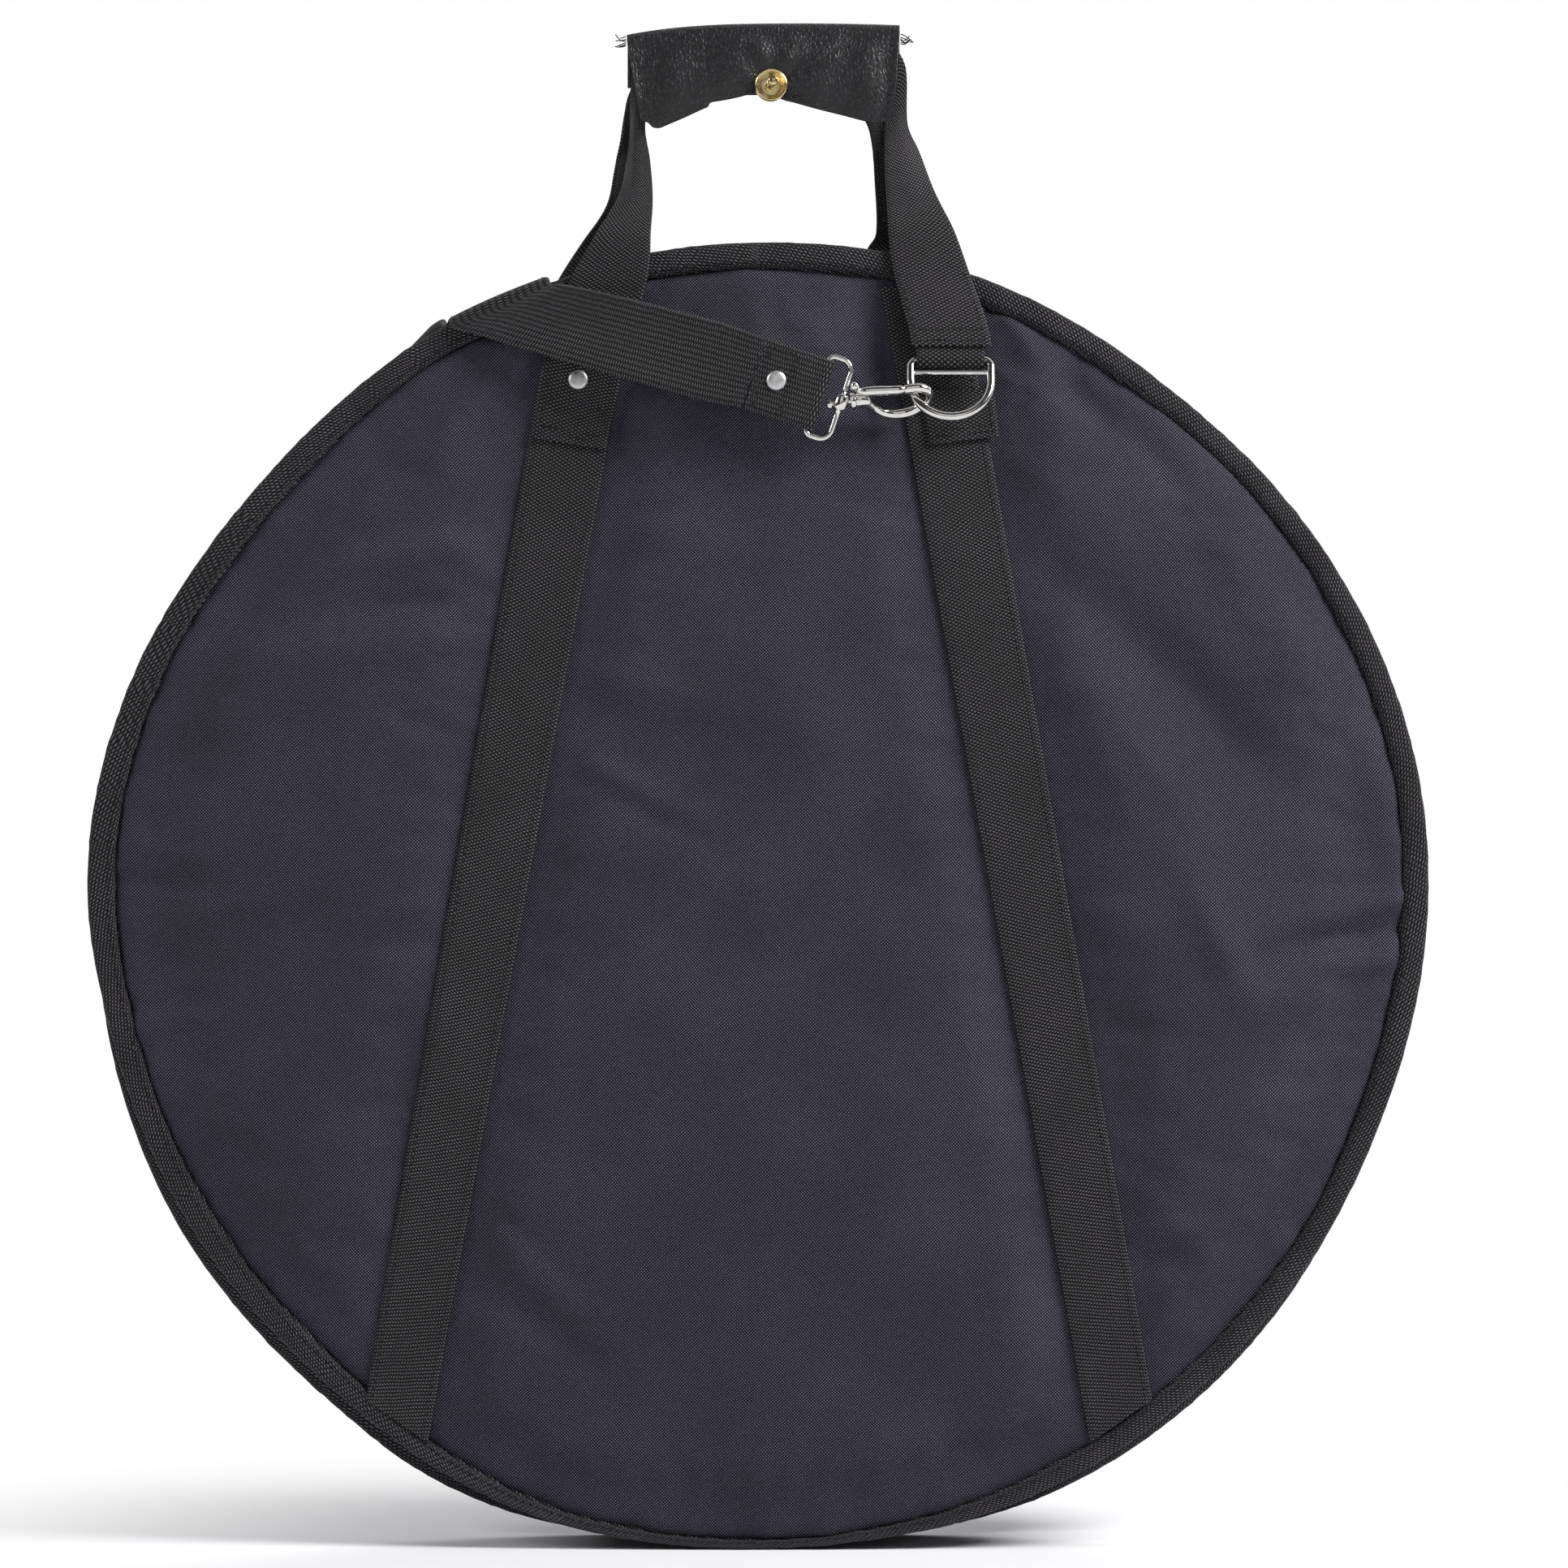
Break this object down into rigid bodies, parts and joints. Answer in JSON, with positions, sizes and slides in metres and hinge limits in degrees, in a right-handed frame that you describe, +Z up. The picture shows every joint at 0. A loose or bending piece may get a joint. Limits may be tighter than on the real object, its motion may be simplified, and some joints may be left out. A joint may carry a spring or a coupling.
{
  "type": "cymbal bag",
  "caption": "Round padded fabric bag for cymbals with a zipped gusset, twin webbing handles, a leather grip and a clip-on shoulder strap.",
  "frame": {"origin": "on the ground under the middle of the bag, where its weight flattens the rim", "axes": "+Z up, -Y out of the face with the shoulder strap's hook, +X to the right seen from that face"},
  "size_m": [0.63, 0.1365, 0.7245],
  "materials": {
    "oxford_cloth": "fine oxford weave with a soft sheen",
    "twill_binding": "herringbone twill tape",
    "black_webbing": "ribbed plain weave",
    "pebbled_leather": "pebbled, satin",
    "foam_padding": "closed-cell foam",
    "nylon_lining": "plain nylon",
    "nickel_plate": "bright plated",
    "antique_brass": "worn satin",
    "zip_coil": "nylon coil",
    "black_plastic": "moulded",
    "pull_rubber": "moulded, matt"
  },
  "bodies": {
    "front_half": {"front_panel": "oxford_cloth", "front_foam": "foam_padding", "front_lining": "nylon_lining", "front_binding": "twill_binding", "front_gusset": "oxford_cloth", "bottom_gusset": "oxford_cloth", "zip_tape_front": "twill_binding", "zip_teeth_front": "zip_coil", "rear_panel_foot": "oxford_cloth", "rear_foam_foot": "foam_padding", "rear_lining_foot": "nylon_lining", "rear_binding_foot": "twill_binding", "front_webbing_left": "black_webbing", "front_webbing_right": "black_webbing", "front_handle_end": "black_webbing", "front_handle_rivet": "nickel_plate", "front_ring_tab": "black_webbing", "front_ring_patch": "black_webbing", "shoulder_strap_front": "black_webbing", "shoulder_strap_back": "black_webbing", "front_strap_end": "black_webbing", "front_strap_rivet": "nickel_plate", "rear_webbing_left_foot": "black_webbing", "rear_webbing_right_foot": "black_webbing"},
    "rear_half": {"rear_panel": "oxford_cloth", "rear_foam": "foam_padding", "rear_lining": "nylon_lining", "rear_binding": "twill_binding", "rear_gusset": "oxford_cloth", "zip_tape_rear": "twill_binding", "zip_teeth_rear": "zip_coil", "rear_webbing_left": "black_webbing", "rear_webbing_right": "black_webbing", "rear_handle_end": "black_webbing", "rear_handle_rivet": "nickel_plate", "rear_ring_tab": "black_webbing", "rear_ring_patch": "black_webbing", "shoulder_strap_return": "black_webbing", "slide_adjuster": "black_plastic"},
    "front_grip": {"front_handle": "black_webbing", "grip_cover": "pebbled_leather", "press_stud": "antique_brass"},
    "grip_flap": {"grip_flap": "pebbled_leather", "stud_socket": "antique_brass", "socket_cap": "antique_brass"},
    "rear_grip": {"rear_handle": "black_webbing"},
    "left_slider": {"left_zip_slider": "nickel_plate"},
    "left_pull": {"left_zip_pull": "pull_rubber"},
    "right_slider": {"right_zip_slider": "nickel_plate"},
    "right_pull": {"right_zip_pull": "pull_rubber"},
    "front_clip": {"front_d_ring": "nickel_plate", "front_hook_eye": "nickel_plate"},
    "front_snap": {"front_hook": "nickel_plate"},
    "front_gate": {"front_hook_gate": "nickel_plate"},
    "rear_clip": {"rear_d_ring": "nickel_plate", "rear_hook_eye": "nickel_plate", "rear_strap_end": "black_webbing", "rear_strap_rivet": "nickel_plate"},
    "rear_snap": {"rear_hook": "nickel_plate"},
    "rear_gate": {"rear_hook_gate": "nickel_plate"}
  },
  "joints": [
    {"name": "rear_half_fold", "type": "hinge", "parent": "front_half", "child": "rear_half", "pos_m": [0, 0.048, 0.125], "axis": [-1, 0, 0], "range_deg": [0, 95], "deforming": ["shoulder_strap_back"]},
    {"name": "front_handle_fold", "type": "hinge", "parent": "front_half", "child": "front_grip", "pos_m": [0, -0.0362, 0.6218], "axis": [1, 0, 0], "range_deg": [0, 80]},
    {"name": "rear_handle_fold", "type": "hinge", "parent": "rear_half", "child": "rear_grip", "pos_m": [0, 0.0362, 0.6218], "axis": [-1, 0, 0], "range_deg": [0, 80]},
    {"name": "grip_flap_lift", "type": "hinge", "parent": "front_grip", "child": "grip_flap", "pos_m": [0.005, -0.0082, 0.7236], "axis": [1, 0, 0], "range_deg": [0, 120]},
    {"name": "left_slider_run", "type": "hinge", "parent": "front_half", "child": "left_slider", "pos_m": [0, 0, 0.306], "axis": [0, 1, 0], "range_deg": [-87, 0]},
    {"name": "left_pull_swing", "type": "hinge", "parent": "left_slider", "child": "left_pull", "pos_m": [-0.18816, 0, 0.55435], "axis": [0, 1, 0], "range_deg": [-8, 110]},
    {"name": "right_slider_run", "type": "hinge", "parent": "front_half", "child": "right_slider", "pos_m": [0, 0, 0.306], "axis": [0, 1, 0], "range_deg": [0, 158]},
    {"name": "right_pull_swing", "type": "hinge", "parent": "right_slider", "child": "right_pull", "pos_m": [-0.17446, 0, 0.56416], "axis": [0, -1, 0], "range_deg": [-8, 110]},
    {"name": "front_ring_swing", "type": "hinge", "parent": "front_half", "child": "front_clip", "pos_m": [0.0905, -0.04568, 0.5625], "axis": [-1, 0, 0], "range_deg": [0, 35], "deforming": ["front_strap_end"]},
    {"name": "front_hook_swivel", "type": "hinge", "parent": "front_clip", "child": "front_snap", "pos_m": [0.03867, -0.05622, 0.54217], "axis": [0.9914, 0, 0.1305], "range_deg": [-16, 3]},
    {"name": "front_gate_press", "type": "hinge", "parent": "front_snap", "child": "front_gate", "pos_m": [0.04831, -0.06051, 0.54707], "axis": [-0.1, 0.6428, 0.7595], "range_deg": [0, 15], "stiffness_Nm_per_rad": 0.01, "springref_deg": -11.46},
    {"name": "rear_ring_swing", "type": "hinge", "parent": "rear_half", "child": "rear_clip", "pos_m": [-0.0905, 0.04568, 0.5625], "axis": [1, 0, 0], "range_deg": [0, 35]},
    {"name": "rear_hook_swivel", "type": "hinge", "parent": "rear_clip", "child": "rear_snap", "pos_m": [-0.0905, 0.06132, 0.5004], "axis": [0, 0, 1], "range_deg": [-15, 15]},
    {"name": "rear_gate_press", "type": "hinge", "parent": "rear_snap", "child": "rear_gate", "pos_m": [-0.0905, 0.06692, 0.5106], "axis": [1, 0, 0], "range_deg": [0, 15], "stiffness_Nm_per_rad": 0.01, "springref_deg": -11.46}
  ]
}
